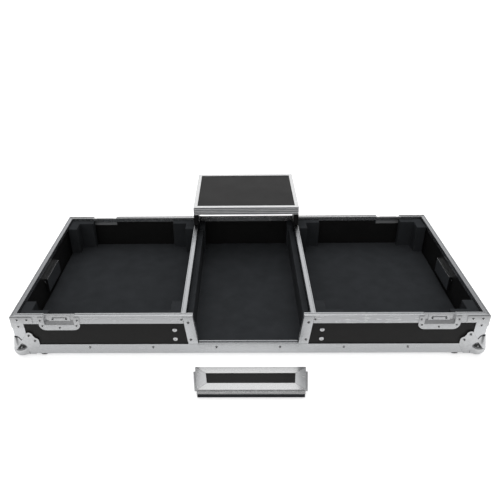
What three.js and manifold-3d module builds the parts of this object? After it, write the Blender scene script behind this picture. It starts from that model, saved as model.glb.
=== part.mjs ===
// A coffin case with two side bays and a middle bay: a shallow flight case of laminated birch ply held
// by aluminium edge extrusions, with a platform that glides over the middle bay and a front panel that
// lifts out of a V-shaped opening. The panel lies on the floor in front of the case.
//
// Lengths are in millimetres. While it is being built, X runs along the case from its middle, Y runs
// back from the front faces of the extrusions and Z runs up from their lowest faces. The exported
// group then puts the origin on the floor, under the middle of the whole part's box.
import * as THREE from "three";
import { mergeVertices } from "three/addons/utils/BufferGeometryUtils.js";
import Module from "manifold-3d";

const wasm = await Module();
wasm.setup();

// Driving dimensions.
const caseWidth = 1180;
const caseDepth = 527;
const caseHeight = 120;
const plyThickness = 9;
const extrusionWall = 1.5;
const fit = 0.3;
const middleBayPitch = 322;
const openingWidthTop = 275;
const openingWidthBottom = 253;
const footHeight = 9;
const platformDepth = 265;
const platformSetback = 66;
const panelDistance = 140.6;
const panelShift = 4.4;

// One overrun serves every cut that has to pass right through a piece.
const overrun = 6;

// An extrusion that straddles the edge of a board is this wide over its two flanges.
const edgeWidth = 2 * extrusionWall + plyThickness + 2 * fit;
const halfWidth = caseWidth / 2;
const boardFace = extrusionWall + fit;
const boardBack = boardFace + plyThickness;

const aluminium = new THREE.MeshStandardMaterial({ color: 0xc4c6c8, roughness: 0.36, metalness: 0.9 });
const steel = new THREE.MeshStandardMaterial({ color: 0xd2d4d6, roughness: 0.28, metalness: 1 });
const laminate = new THREE.MeshStandardMaterial({ color: 0x202022, roughness: 0.42, metalness: 0 });
const foam = new THREE.MeshStandardMaterial({ color: 0x2c2e30, roughness: 0.95, metalness: 0 });
const rubber = new THREE.MeshStandardMaterial({ color: 0x161617, roughness: 0.85, metalness: 0 });
const blackPaint = new THREE.MeshStandardMaterial({ color: 0x18181a, roughness: 0.5, metalness: 0.2 });

const caseBody = new THREE.Group();
const platform = new THREE.Group();
const panel = new THREE.Group();

// Joining and cutting. A closed three.js geometry goes in as a solid, and a solid comes back out.
function solid(shape) {
  if (!shape.isBufferGeometry) return shape;
  const bare = shape.clone();
  bare.deleteAttribute("normal");
  bare.deleteAttribute("uv");
  const welded = mergeVertices(bare);
  const vertProperties = welded.attributes.position.array;
  const triVerts = new Uint32Array(welded.index.array);
  return new wasm.Manifold(new wasm.Mesh({ numProp: 3, vertProperties, triVerts }));
}

function geometryOf(shape) {
  if (shape.isBufferGeometry) return shape.clone();
  const mesh = shape.getMesh();
  const geometry = new THREE.BufferGeometry();
  geometry.setAttribute("position", new THREE.BufferAttribute(mesh.vertProperties, 3));
  geometry.setIndex(new THREE.BufferAttribute(mesh.triVerts, 1));
  return geometry;
}

function join(first, ...others) {
  return others.reduce((whole, other) => whole.add(solid(other)), solid(first));
}

function cut(first, ...others) {
  return others.reduce((whole, other) => whole.subtract(solid(other)), solid(first));
}

function piece(name, shape, material, group = caseBody) {
  const geometry = geometryOf(shape);
  geometry.computeVertexNormals();
  const mesh = new THREE.Mesh(geometry, material);
  mesh.name = name;
  group.add(mesh);
}

// A rectangular block between two X, two Y and two Z places.
function block([x0, x1], [y0, y1], [z0, z1]) {
  const box = new THREE.BoxGeometry(x1 - x0, y1 - y0, z1 - z0);
  return box.translate((x0 + x1) / 2, (y0 + y1) / 2, (z0 + z1) / 2);
}

function outlineOf(points) {
  return new THREE.Shape(points.map(([across, up]) => new THREE.Vector2(across, up)));
}

// A flat plate whose outline is drawn as [x, z] and which lies between two Y places.
function uprightPlate(outline, [y0, y1], curveSegments = 6) {
  const options = { depth: y1 - y0, bevelEnabled: false, curveSegments };
  const plate = new THREE.ExtrudeGeometry(outline, options);
  return plate.rotateX(Math.PI / 2).translate(0, y1, 0);
}

// A straight run of a section, drawn in X and Y, between two Z places. Each end can lean: it is then
// moved inwards by its lean times the X or the Y of each point of the section.
function run(section, [from, to], [leanFrom, leanTo] = [0, 0], leanBy = "x") {
  const options = { depth: to - from, bevelEnabled: false };
  const length = new THREE.ExtrudeGeometry(outlineOf(section), options);
  const points = length.attributes.position;
  for (let i = 0; i < points.count; i++) {
    const inward = leanBy === "x" ? points.getX(i) : points.getY(i);
    const atEnd = points.getZ(i) > 0;
    points.setZ(i, atEnd ? to - leanTo * inward : from + leanFrom * inward);
  }
  return length;
}

// A straight bar along X whose section is drawn as [inward from its face, up]. A lean of 1 is a mitre
// of 45 degrees, so that the bar is shorter the further inward its section lies.
const barFrame = new THREE.Matrix4().makeBasis(
  new THREE.Vector3(0, 1, 0),
  new THREE.Vector3(0, 0, 1),
  new THREE.Vector3(1, 0, 0),
);
function bar(section, ends, leans) {
  return run(section, ends, leans).applyMatrix4(barFrame);
}

// The same shape seen in a mirror: across the middle of the case, across a plane square to its depth,
// or with its X and Y exchanged.
function reversed(geometry) {
  const copy = geometry.index ? geometry : mergeVertices(geometry);
  copy.index.array.reverse();
  return copy;
}
function mirrored(shape, acrossX = true, acrossY = false) {
  const copy = geometryOf(shape).scale(acrossX ? -1 : 1, acrossY ? -1 : 1, 1);
  return acrossX === acrossY ? copy : reversed(copy);
}
function exchanged(shape) {
  return reversed(geometryOf(shape).rotateZ(Math.PI / 2).scale(-1, 1, 1));
}

// The four sides of the case. A piece made for the front is turned and moved to its own side.
const sides = {
  front: { turn: 0, x: 0, y: 0, reach: halfWidth },
  right: { turn: Math.PI / 2, x: halfWidth, y: caseDepth / 2, reach: caseDepth / 2 },
  rear: { turn: Math.PI, x: 0, y: caseDepth, reach: halfWidth },
  left: { turn: -Math.PI / 2, x: -halfWidth, y: caseDepth / 2, reach: caseDepth / 2 },
};
function onSide(shape, { turn, x, y }) {
  return geometryOf(shape).rotateZ(turn).translate(x, y, 0);
}

// The four bottom corners. A piece made for the corner at the origin is mirrored and moved there.
const corners = {
  front_left: { right: false, rear: false },
  front_right: { right: true, rear: false },
  rear_left: { right: false, rear: true },
  rear_right: { right: true, rear: true },
};
function atCorner(shape, { right, rear }) {
  const there = mirrored(shape, right, rear);
  return there.translate(right ? halfWidth : -halfWidth, rear ? caseDepth : 0, 0);
}

// Pressed steel ball corners. Each has a flat leg on each of its three faces of the case, a hollow
// ball round the corner itself and a ridge that tapers from the ball up the corner's edge.
const legWidth = 30;
const ballCentre = { inward: 9.3, up: 14.8 };
const ballRadius = 22.2;
const ballWall = 1.5;
const ridgeTip = { inward: 3, up: 50, radius: 6 };
const ballLobe = 10;
const ballUpperLobe = { across: 36.5, up: 60, turn: Math.PI };
const ballOuterLobe = { across: 49.5, up: 43, turn: 0.45 * Math.PI };
const ballFoot = 44;
const ballEdgeUp = 41.5;
const quarterSteps = 5;

function ballAt(radius) {
  const ball = new THREE.SphereGeometry(radius, 4 * quarterSteps, 2 * quarterSteps);
  const { inward, up } = ballCentre;
  return ball.rotateX(Math.PI / 2).translate(inward, inward, up);
}

// The ridge is a cone that runs over both the ball and the smaller ball at its tip.
function ballRidge() {
  const from = new THREE.Vector3(ballCentre.inward, ballCentre.inward, ballCentre.up);
  const to = new THREE.Vector3(ridgeTip.inward, ridgeTip.inward, ridgeTip.up);
  const length = from.distanceTo(to);
  const lean = Math.asin((ballRadius - ridgeTip.radius) / length);
  const along = ballRadius * Math.sin(lean);
  const profile = [new THREE.Vector2(0, along), new THREE.Vector2(ballRadius * Math.cos(lean), along)];
  for (let step = 0; step < quarterSteps; step++) {
    const angle = lean + (step / quarterSteps) * (Math.PI / 2 - lean);
    const out = ridgeTip.radius * Math.cos(angle);
    profile.push(new THREE.Vector2(out, length + ridgeTip.radius * Math.sin(angle)));
  }
  profile.push(new THREE.Vector2(0, length + ridgeTip.radius));
  const cone = new THREE.LatheGeometry(profile, 4 * quarterSteps);
  const upward = new THREE.Vector3(0, 1, 0);
  const turn = new THREE.Quaternion().setFromUnitVectors(upward, to.sub(from).normalize());
  return cone.applyQuaternion(turn).translate(from.x, from.y, from.z);
}

function ballCorner() {
  const skin = -fit - ballWall;
  const outline = new THREE.Shape();
  outline.moveTo(skin, skin);
  outline.lineTo(ballFoot, skin);
  outline.lineTo(ballOuterLobe.across + ballLobe, legWidth);
  outline.absarc(ballOuterLobe.across, ballOuterLobe.up, ballLobe, 0, ballOuterLobe.turn);
  outline.absarc(ballUpperLobe.across, ballUpperLobe.up, ballLobe, 0, ballUpperLobe.turn);
  outline.lineTo(0, ballEdgeUp);
  outline.lineTo(skin, ballEdgeUp);
  const frontFace = uprightPlate(outline, [skin, -fit], quarterSteps);
  const bottomFace = block([skin, ballFoot], [skin, ballFoot], [skin, -fit]);
  const whole = join(frontFace, exchanged(frontFace), bottomFace, ballAt(ballRadius), ballRidge());
  const covered = [-fit, 2 * ballRadius + ridgeTip.up];
  return cut(whole, ballAt(ballRadius - ballWall), block(covered, covered, covered));
}
for (const [name, corner] of Object.entries(corners)) {
  piece(`${name}_ball_corner`, atCorner(ballCorner(), corner), steel);
}

// Rim extrusions. Two lips with a groove between them take the tongue of a lid. The outer flange
// lies on the laminate and the shorter inner one lies inside the bay.
const rimFace = 24;
const rimInner = 14;
const lipHeight = 1.8;
const lipWidth = 2.6;
const webTop = caseHeight - lipHeight;
const webBottom = webTop - extrusionWall;
const rimSection = [
  [0, caseHeight - rimFace],
  [extrusionWall, caseHeight - rimFace],
  [extrusionWall, webBottom],
  [edgeWidth - extrusionWall, webBottom],
  [edgeWidth - extrusionWall, caseHeight - rimInner],
  [edgeWidth, caseHeight - rimInner],
  [edgeWidth, caseHeight],
  [edgeWidth - lipWidth, caseHeight],
  [edgeWidth - lipWidth, webTop],
  [lipWidth, webTop],
  [lipWidth, caseHeight],
  [0, caseHeight],
];

// Bottom edge extrusions are plain angles, and so are the ones up the corners.
const angleLeg = 30;
const angleSection = [
  [0, 0],
  [angleLeg, 0],
  [angleLeg, extrusionWall],
  [extrusionWall, extrusionWall],
  [extrusionWall, angleLeg],
  [0, angleLeg],
];

// The front opening is a V with its point cut off. Each slanted side leans out by the slope.
const slope = (openingWidthTop - openingWidthBottom) / 2 / (caseHeight - angleLeg);
const slant = Math.atan(slope);
function openingHalf(z) {
  return openingWidthBottom / 2 + (z - angleLeg) * slope;
}
function openingPrism(grow, [z0, z1], [y0, y1]) {
  const wide = grow / Math.cos(slant);
  const low = openingHalf(z0) + wide;
  const high = openingHalf(z1) + wide;
  return uprightPlate(outlineOf([[-low, z0], [low, z0], [high, z1], [-high, z1]]), [y0, y1]);
}
const throughWall = [-overrun, edgeWidth + overrun];

// Recessed latch keepers, two at the front and two at the rear: a pressed dish let into the rim and
// the wall, with the keeper plate that the latch on the lid hooks into.
const keeperFromEnd = 120;
const keeperWidth = 103;
const keeperDrop = 42.5;
const keeperRound = 17;
const pressedWall = 1.5;
const pocketWidth = 77;
const pocketDrop = 27;
const pocketDepth = 9.3;
const pocketTop = caseHeight - lipHeight;
const pocketHalf = pocketWidth / 2;
const keeperPlace = halfWidth - keeperFromEnd;
const keeperPlaces = [-keeperPlace, keeperPlace];

function keeperCut(place) {
  const across = [place - pocketHalf - fit, place + pocketHalf + fit];
  const down = caseHeight - pocketDrop - fit;
  const pocket = block(across, [-overrun, pocketDepth + fit], [down, caseHeight + overrun]);
  const lips = block(across, throughWall, [webTop, caseHeight + overrun]);
  return join(pocket, lips);
}

const ledgeRise = 7;
const hookPlateHalf = 27;
const hookPlateDrop = 20;
const hookPlateThickness = 1.8;
const hookSlotHalf = 18;
const hookSlotDrop = 8;
const hookSlotHeight = 2.4;
function keeperDish(place) {
  const low = caseHeight - keeperDrop;
  const half = keeperWidth / 2;
  const outline = new THREE.Shape();
  outline.moveTo(-half, pocketTop);
  outline.lineTo(-half, low + keeperRound);
  outline.absarc(-half + keeperRound, low + keeperRound, keeperRound, Math.PI, 1.5 * Math.PI);
  outline.absarc(half - keeperRound, low + keeperRound, keeperRound, 1.5 * Math.PI, 2 * Math.PI);
  outline.lineTo(half, pocketTop);
  const flangeFace = -fit - pressedWall;
  const flange = uprightPlate(outline, [flangeFace, -fit]);
  const pocketFloor = caseHeight - pocketDrop;
  const cup = block([-pocketHalf, pocketHalf], [flangeFace, pocketDepth], [pocketFloor, pocketTop]);
  const innerHalf = pocketHalf - pressedWall;
  const innerBack = pocketDepth - pressedWall;
  const innerFloor = pocketFloor + pressedWall;
  const hollow = block(
    [-innerHalf, innerHalf],
    [flangeFace - overrun, innerBack],
    [innerFloor, pocketTop + overrun],
  );
  const ledgeSection = [
    [flangeFace, pocketFloor],
    [pocketDepth, pocketFloor],
    [pocketDepth, innerFloor + ledgeRise],
    [innerBack, innerFloor + ledgeRise],
    [flangeFace, innerFloor],
  ];
  const ledge = bar(ledgeSection, [-pocketHalf, pocketHalf]);
  const plateFace = innerBack - hookPlateThickness;
  const plate = block(
    [-hookPlateHalf, hookPlateHalf],
    [plateFace, pocketDepth],
    [caseHeight - hookPlateDrop, pocketTop],
  );
  const slotTop = caseHeight - hookSlotDrop;
  const slot = block(
    [-hookSlotHalf, hookSlotHalf],
    [plateFace - overrun, innerBack],
    [slotTop - hookSlotHeight, slotTop],
  );
  const dish = cut(join(cut(join(flange, cup), hollow), ledge, plate), slot);
  return geometryOf(dish).translate(place, 0, 0);
}
const keeperNames = [
  ["front_left", sides.front, -keeperPlace],
  ["front_right", sides.front, keeperPlace],
  ["rear_left", sides.rear, keeperPlace],
  ["rear_right", sides.rear, -keeperPlace],
];
for (const [name, side, place] of keeperNames) {
  piece(`${name}_latch_keeper`, onSide(keeperDish(place), side), steel);
}

// The rim: two runs at the front, either side of the opening, and one along each other side.
const trimFace = 25;
const rimMitre = [-halfWidth + fit / 2, 0];
const wholeOpening = openingPrism(0, [0, caseHeight + overrun], throughWall);
const underRim = openingPrism(trimFace + fit, [0, webBottom], throughWall);
const frontRim = cut(
  bar(rimSection, rimMitre, [1, 0]),
  wholeOpening,
  underRim,
  keeperCut(-keeperPlace),
);
piece("front_left_rim", frontRim, aluminium);
piece("front_right_rim", mirrored(frontRim), aluminium);
for (const name of ["left", "right", "rear"]) {
  const { reach } = sides[name];
  const run = bar(rimSection, [-reach + fit / 2, reach - fit / 2], [1, 1]);
  const shape = name === "rear" ? cut(run, ...keeperPlaces.map(keeperCut)) : run;
  piece(`${name}_rim`, onSide(shape, sides[name]), aluminium);
}

for (const [name, side] of Object.entries(sides)) {
  const run = bar(angleSection, [-side.reach + fit / 2, side.reach - fit / 2], [1, 1]);
  piece(`${name}_bottom_extrusion`, onSide(run, side), aluminium);
}

for (const [name, corner] of Object.entries(corners)) {
  const post = run(angleSection, [angleLeg + fit, caseHeight - rimFace - fit]);
  piece(`${name}_corner_extrusion`, atCorner(post, corner), aluminium);
}

// Upper corner braces: an L of pressed steel on each face, riveted through the extrusions.
const braceWall = 1.2;
const braceReach = 54;
const braceArm = 20;
const braceDrop = 35;
const braceTop = caseHeight - lipHeight;
for (const [name, corner] of Object.entries(corners)) {
  const outer = -fit - braceWall;
  const low = caseHeight - braceDrop;
  const arm = caseHeight - braceArm - lipHeight;
  const outline = outlineOf([
    [outer, low],
    [legWidth, low],
    [legWidth, arm],
    [braceReach, arm],
    [braceReach, braceTop],
    [outer, braceTop],
  ]);
  const plate = uprightPlate(outline, [outer, -fit]);
  piece(`${name}_corner_brace`, atCorner(join(plate, exchanged(plate)), corner), steel);
}

// Spring-loaded drop handles, one let into each end wall.
const handleDepth = 20;
const handleClearance = 2;
const handleBorder = 9;
const pivotFromPocketTop = 9;
const bailHalf = 43;
const bailRadius = 4;
const bailClearance = 2.5;
const rimFoot = caseHeight - rimFace;
const handleHeight = (rimFoot + angleLeg) / 2;
const handleFlange = { half: 68, up: (rimFoot - angleLeg) / 2 - handleClearance, round: 9 };
const handlePocket = { half: 51.5, up: handleFlange.up - handleBorder };
const handlePivot = { inward: 9, above: handlePocket.up - pivotFromPocketTop };
const bailLowest = pressedWall + bailClearance - handlePocket.up;
const bailDrop = handlePivot.above - bailLowest - bailRadius;
const pinRadius = 3;
const pinEnd = handlePocket.half - fit;
function handleCut() {
  const across = [-handlePocket.half - fit, handlePocket.half + fit];
  const down = handleHeight - handlePocket.up - fit;
  return block(across, throughWall, [down, handleHeight + handlePocket.up + fit]);
}
function handleDish() {
  const { half, up, round } = handleFlange;
  const low = handleHeight - up;
  const high = handleHeight + up;
  const outline = new THREE.Shape();
  outline.absarc(-half + round, low + round, round, Math.PI, 1.5 * Math.PI);
  outline.absarc(half - round, low + round, round, 1.5 * Math.PI, 2 * Math.PI);
  outline.absarc(half - round, high - round, round, 0, 0.5 * Math.PI);
  outline.absarc(-half + round, high - round, round, 0.5 * Math.PI, Math.PI);
  const flange = uprightPlate(outline, [0, pressedWall], 3);
  const cup = block(
    [-handlePocket.half, handlePocket.half],
    [0, handleDepth],
    [handleHeight - handlePocket.up, handleHeight + handlePocket.up],
  );
  const innerHalf = handlePocket.half - pressedWall;
  const innerUp = handlePocket.up - pressedWall;
  const hollow = block(
    [-innerHalf, innerHalf],
    [-overrun, handleDepth - pressedWall],
    [handleHeight - innerUp, handleHeight + innerUp],
  );
  const pivotHeight = handleHeight + handlePivot.above;
  const pivotHole = new THREE.CylinderGeometry(pinRadius + fit, pinRadius + fit, caseDepth, 12);
  pivotHole.rotateZ(Math.PI / 2).translate(0, handlePivot.inward, pivotHeight);
  return cut(join(flange, cup), hollow, pivotHole);
}
function handleBail() {
  const top = handleHeight + handlePivot.above;
  const low = top - bailDrop;
  const across = new THREE.CylinderGeometry(bailRadius, bailRadius, 2 * bailHalf, 12);
  across.rotateZ(Math.PI / 2).translate(0, 0, low);
  const armAndPin = [-1, 1].flatMap((hand) => {
    const arm = new THREE.CylinderGeometry(bailRadius, bailRadius, bailDrop, 12);
    arm.rotateX(Math.PI / 2).translate(hand * bailHalf, 0, (top + low) / 2);
    const bend = new THREE.SphereGeometry(bailRadius, 12, 6);
    bend.rotateX(Math.PI / 2).translate(hand * bailHalf, 0, low);
    const shoulder = new THREE.SphereGeometry(bailRadius, 12, 6);
    shoulder.rotateX(Math.PI / 2).translate(hand * bailHalf, 0, top);
    const pinLength = pinEnd - bailHalf;
    const pin = new THREE.CylinderGeometry(pinRadius, pinRadius, pinLength, 12);
    pin.rotateZ(Math.PI / 2).translate(hand * (bailHalf + pinLength / 2), 0, top);
    return [arm, bend, shoulder, pin];
  });
  return geometryOf(join(across, ...armAndPin)).translate(0, handlePivot.inward, 0);
}
for (const name of ["left", "right"]) {
  piece(`${name}_handle_dish`, onSide(handleDish(), sides[name]), steel);
  piece(`${name}_handle_bail`, onSide(handleBail(), sides[name]), steel);
}

// Boards of laminated ply. The walls stand on the base board, inside the extrusions.
const wallFoot = boardBack + fit;
const wallTop = webBottom - fit;
const boardReach = halfWidth - boardFace;
const wallHeights = [wallFoot, wallTop];
piece(
  "base_board",
  block([-boardReach, boardReach], [boardFace, caseDepth - boardFace], [boardFace, boardBack]),
  laminate,
);

const grooveDepth = 5.5;
const plyToOpening = grooveDepth + extrusionWall + fit;
const longWall = block([-boardReach, boardReach], [boardFace, boardBack], wallHeights);
const wallKeeperCuts = keeperPlaces.map((place) =>
  block(
    [place - pocketHalf - fit, place + pocketHalf + fit],
    throughWall,
    [caseHeight - pocketDrop - fit, caseHeight],
  ),
);
const openWall = openingPrism(plyToOpening, [angleLeg, caseHeight], throughWall);
const sillFoot = angleLeg + fit;
const sillSink = 5.8;
const sillLip = 1.2;
const sillReach = openingHalf(sillFoot) - fit;
const sillNotch = block(
  [-sillReach - fit, sillReach + fit],
  throughWall,
  [sillFoot - sillSink - fit, caseHeight],
);
const frontWall = cut(longWall, ...wallKeeperCuts, openWall, sillNotch);
piece("front_wall", frontWall, laminate);
const rearWall = onSide(cut(longWall, ...wallKeeperCuts), sides.rear);
piece("rear_wall", rearWall, laminate);
for (const name of ["left", "right"]) {
  const reach = sides[name].reach - boardBack - fit;
  const wall = cut(block([-reach, reach], [boardFace, boardBack], wallHeights), handleCut());
  piece(`${name}_end_wall`, onSide(wall, sides[name]), laminate);
}

// The two partitions, with a groove along the inside of each for the foot of a glide bracket.
const partitionPlace = middleBayPitch / 2;
const partitionFace = partitionPlace - plyThickness / 2;
const guideDepth = 4.5;
const guideDrop = 24;
const guideHeight = 3;
const guideEndInset = 12;
const bracketLength = 40;
const bracketInset = 3;
const glideClearance = 4;
const overhang = platformDepth - platformSetback;
const glideTravel = overhang + edgeWidth + glideClearance;
const platformFront = caseDepth - platformSetback;
const guideFront = platformFront - glideTravel - guideEndInset;
const innerFront = edgeWidth + fit;
const innerRear = caseDepth - innerFront;
const rimShadow = caseHeight - rimInner - fit;
const guideBottom = caseHeight - guideDrop;
const besideRims = [[0, innerFront], [innerRear, caseDepth]].map((depths) =>
  block([0, halfWidth], depths, [rimShadow, caseHeight]),
);
const rightPartition = cut(
  block(
    [partitionFace, partitionFace + plyThickness],
    [boardBack + fit, caseDepth - boardBack - fit],
    wallHeights,
  ),
  ...besideRims,
  block(
    [partitionFace - overrun, partitionFace + guideDepth],
    [guideFront, innerRear],
    [guideBottom, guideBottom + guideHeight],
  ),
);
piece("right_partition", rightPartition, laminate);
piece("left_partition", mirrored(rightPartition), laminate);

// Partition caps: the same two lips and groove as the rim, over flanges of equal height.
const capFlange = 15;
const capSection = [
  [0, caseHeight - capFlange],
  [extrusionWall, caseHeight - capFlange],
  [extrusionWall, webBottom],
  [edgeWidth - extrusionWall, webBottom],
  [edgeWidth - extrusionWall, caseHeight - capFlange],
  [edgeWidth, caseHeight - capFlange],
  [edgeWidth, caseHeight],
  [edgeWidth - lipWidth, caseHeight],
  [edgeWidth - lipWidth, webTop],
  [lipWidth, webTop],
  [lipWidth, caseHeight],
  [0, caseHeight],
];
const capReach = caseDepth / 2 - innerFront;
const capHalf = edgeWidth / 2;
const rightCap = bar(capSection, [-capReach, capReach]);
rightCap.rotateZ(Math.PI / 2).translate(partitionPlace + capHalf, caseDepth / 2, 0);
piece("right_partition_cap", rightCap, aluminium);
piece("left_partition_cap", mirrored(rightCap), aluminium);

// Slanted trims up both sides of the opening, with a groove for the front panel's tongues, and a
// grooved sill along its foot.
const trimInner = 14;
const trimSection = [
  [0, 0],
  [0, trimFace],
  [extrusionWall, trimFace],
  [extrusionWall, grooveDepth + extrusionWall],
  [edgeWidth - extrusionWall, grooveDepth + extrusionWall],
  [edgeWidth - extrusionWall, trimInner],
  [edgeWidth, trimInner],
  [edgeWidth, 0],
  [edgeWidth - lipWidth, 0],
  [edgeWidth - lipWidth, grooveDepth],
  [lipWidth, grooveDepth],
  [lipWidth, 0],
];
const trimRun = run(trimSection, [0, caseHeight / Math.cos(slant)]);
const trimFrame = new THREE.Matrix4().makeBasis(
  new THREE.Vector3(0, 1, 0),
  new THREE.Vector3(-Math.cos(slant), 0, -Math.sin(slant)),
  new THREE.Vector3(-Math.sin(slant), 0, Math.cos(slant)),
);
trimRun.applyMatrix4(trimFrame).translate(-openingHalf(0), 0, 0);
const trimSlab = block(
  [-halfWidth, 0],
  throughWall,
  [angleLeg + fit, webBottom - fit],
);
const leftTrim = solid(trimRun).intersect(solid(trimSlab));
piece("left_opening_trim", leftTrim, aluminium);
piece("right_opening_trim", mirrored(leftTrim), aluminium);

const sillFloor = sillFoot - sillSink;
const sillTop = sillFoot + sillLip;
const sillLipWidth = boardFace + extrusionWall;
const sillSection = [
  [0, sillFoot],
  [boardFace, sillFoot],
  [boardFace, sillFloor],
  [edgeWidth - extrusionWall, sillFloor],
  [edgeWidth - extrusionWall, sillFoot - trimInner],
  [edgeWidth, sillFoot - trimInner],
  [edgeWidth, sillTop],
  [edgeWidth - lipWidth, sillTop],
  [edgeWidth - lipWidth, sillFloor + extrusionWall],
  [sillLipWidth, sillFloor + extrusionWall],
  [sillLipWidth, sillTop],
  [0, sillTop],
];
piece("opening_sill", bar(sillSection, [-sillReach, sillReach]), aluminium);

// Rubber feet.
const footRadius = 14;
const footChamfer = 2;
const footFromSide = 61;
const footFromFront = 18;
for (const [name, corner] of Object.entries(corners)) {
  const profile = [
    [0, -footHeight],
    [footRadius - footChamfer, -footHeight],
    [footRadius, footChamfer - footHeight],
    [footRadius, -fit],
    [0, -fit],
  ].map(([radius, up]) => new THREE.Vector2(radius, up));
  const foot = new THREE.LatheGeometry(profile, 16);
  foot.rotateX(Math.PI / 2).translate(footFromSide, footFromFront, 0);
  piece(`${name}_foot`, atCorner(foot, corner), rubber);
}

// Foam. Each side bay has a pad and a block of L-shaped plan in every corner, and the middle bay has
// a pad, a lining along each partition and a post in each rear corner.
const padThickness = 10;
const padTop = wallFoot + padThickness;
const sideBay = {
  from: partitionFace + plyThickness + extrusionWall + fit + fit,
  to: halfWidth - edgeWidth - fit,
};
const cornerBlock = { alongX: 73, alongY: 60, sideThickness: 29, endThickness: 23, below: 8 };
const blockTop = caseHeight - cornerBlock.below;
function bayCornerBlock() {
  const { alongX, alongY, sideThickness, endThickness } = cornerBlock;
  const heights = [wallFoot, blockTop];
  return join(
    block([0, alongX], [0, endThickness], heights),
    block([0, sideThickness], [0, alongY], heights),
  );
}
const bayPad = block([sideBay.from, sideBay.to], [innerFront, innerRear], [wallFoot, padTop]);
const bayBlocks = [false, true].flatMap((outer) =>
  [false, true].map((rear) =>
    mirrored(bayCornerBlock(), outer, rear).translate(
      outer ? sideBay.to : sideBay.from,
      rear ? innerRear : innerFront,
      0,
    ),
  ),
);
const rightBayFoam = join(bayPad, ...bayBlocks);
piece("right_bay_foam", rightBayFoam, foam);
piece("left_bay_foam", mirrored(rightBayFoam), foam);

const bracketWall = 2;
const bracketOuter = partitionPlace - capHalf - fit;
const bracketInner = bracketOuter - bracketWall;
const liningThickness = 17;
const liningBelowGroove = 2;
const rearPost = { across: 18, deep: 39, below: 12, clear: 0.5 };
const middleReach = partitionFace - fit;
const postOuter = bracketInner - rearPost.clear;
const middleFoamRight = join(
  block([middleReach - liningThickness, middleReach], [innerFront, innerRear], [
    wallFoot,
    guideBottom - liningBelowGroove,
  ]),
  block([postOuter - rearPost.across, postOuter], [innerRear - rearPost.deep, innerRear], [
    wallFoot,
    caseHeight - rearPost.below,
  ]),
);
const middlePad = block(
  [-middleReach, middleReach],
  [innerFront, innerRear],
  [wallFoot, padTop],
);
piece("middle_bay_foam", join(middlePad, middleFoamRight, mirrored(middleFoamRight)), foam);

// The gliding platform. Two legs stand on the partition caps and carry a frame of ribbed extrusion
// with a deck let into it. A bracket inside each leg runs in the groove of its partition.
const platformHalf = partitionPlace + capHalf;
const platformRear = platformFront + platformDepth;
const legFoot = caseHeight + fit;
const legHeight = 37.7;
const legTop = legFoot + legHeight;
const frameHeight = 26;
const frameFlange = 12;
const deckSeat = 14.6;
const seatFlange = 8;
const ribDepth = 0.7;
const ribGroove = 3.4;
const ribPitch = 6.2;
const ribCount = 4;
const ribFirst = 2;
const frameFoot = legTop + fit;
function platformBlock(inset, from, to) {
  return block(
    [inset - platformHalf, platformHalf - inset],
    [platformFront + inset, platformRear - inset],
    [frameFoot + from, frameFoot + to],
  );
}
const deckBottom = deckSeat + fit;
const deckTop = deckBottom + plyThickness;
const ribCuts = Array.from({ length: ribCount }, (_, index) => {
  const from = ribFirst + index * ribPitch;
  const to = from + ribGroove;
  return cut(platformBlock(-overrun, from, to), platformBlock(ribDepth, from, to));
});
const platformEdge = cut(
  platformBlock(0, 0, frameHeight),
  platformBlock(frameFlange, -overrun, frameHeight + overrun),
  platformBlock(extrusionWall, extrusionWall, deckSeat - extrusionWall),
  platformBlock(seatFlange, 0, deckSeat + extrusionWall),
  platformBlock(extrusionWall, deckSeat, deckTop + fit),
  ...ribCuts,
);
piece("platform_edge", platformEdge, aluminium, platform);
const deck = platformBlock(extrusionWall + fit, deckBottom, deckTop);
piece("platform_deck", deck, laminate, platform);

const rightLeg = block(
  [platformHalf - edgeWidth, platformHalf],
  [platformFront, platformRear],
  [legFoot, legTop],
);
piece("right_platform_leg", rightLeg, laminate, platform);
piece("left_platform_leg", mirrored(rightLeg), laminate, platform);

const guideClearance = 0.5;
const bracketFoot = guideBottom + guideClearance;
const bracketTopInset = 4;
const bracketDepths = [platformFront + bracketInset, platformFront + bracketInset + bracketLength];
const rightBracket = join(
  block([bracketInner, bracketOuter], bracketDepths, [bracketFoot, legTop - bracketTopInset]),
  block([bracketInner, partitionFace + guideDepth - guideClearance], bracketDepths, [
    bracketFoot,
    bracketFoot + bracketWall,
  ]),
);
piece("right_glide_bracket", rightBracket, blackPaint, platform);
piece("left_glide_bracket", mirrored(rightBracket), blackPaint, platform);

// The front panel, drawn standing in its own frame: X across, Y through its thickness from its face
// and Z up from its bottom edge. Its four edges are mitred, and the tongues on three of them run in
// the grooves of the opening. It lies on its back, with its bottom edge furthest from the case, and
// the strip of foam behind that edge tilts it.
const panelGap = 0.5;
const panelFoot = sillTop + fit;
const panelHeight = caseHeight - panelFoot;
const panelBottomHalf = openingHalf(panelFoot) - panelGap;
const panelTopHalf = openingHalf(caseHeight) - panelGap;
const tongueProud = 4.8;
const tongueFront = 3.8;
const tongueRear = 8.8;
const tongueInsets = { bottom: [1.5, 1.5], right: [6, 13], left: [13, 6] };
const panelCorners = [
  [-panelBottomHalf, 0],
  [panelBottomHalf, 0],
  [panelTopHalf, panelHeight],
  [-panelTopHalf, panelHeight],
];
const panelEdgeSection = [
  [0, 0],
  [edgeWidth, 0],
  [edgeWidth, trimInner],
  [edgeWidth - extrusionWall, trimInner],
  [edgeWidth - extrusionWall, extrusionWall],
  [extrusionWall, extrusionWall],
  [extrusionWall, trimFace],
  [0, trimFace],
];
const panelTopWeb = lipHeight + extrusionWall;
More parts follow.
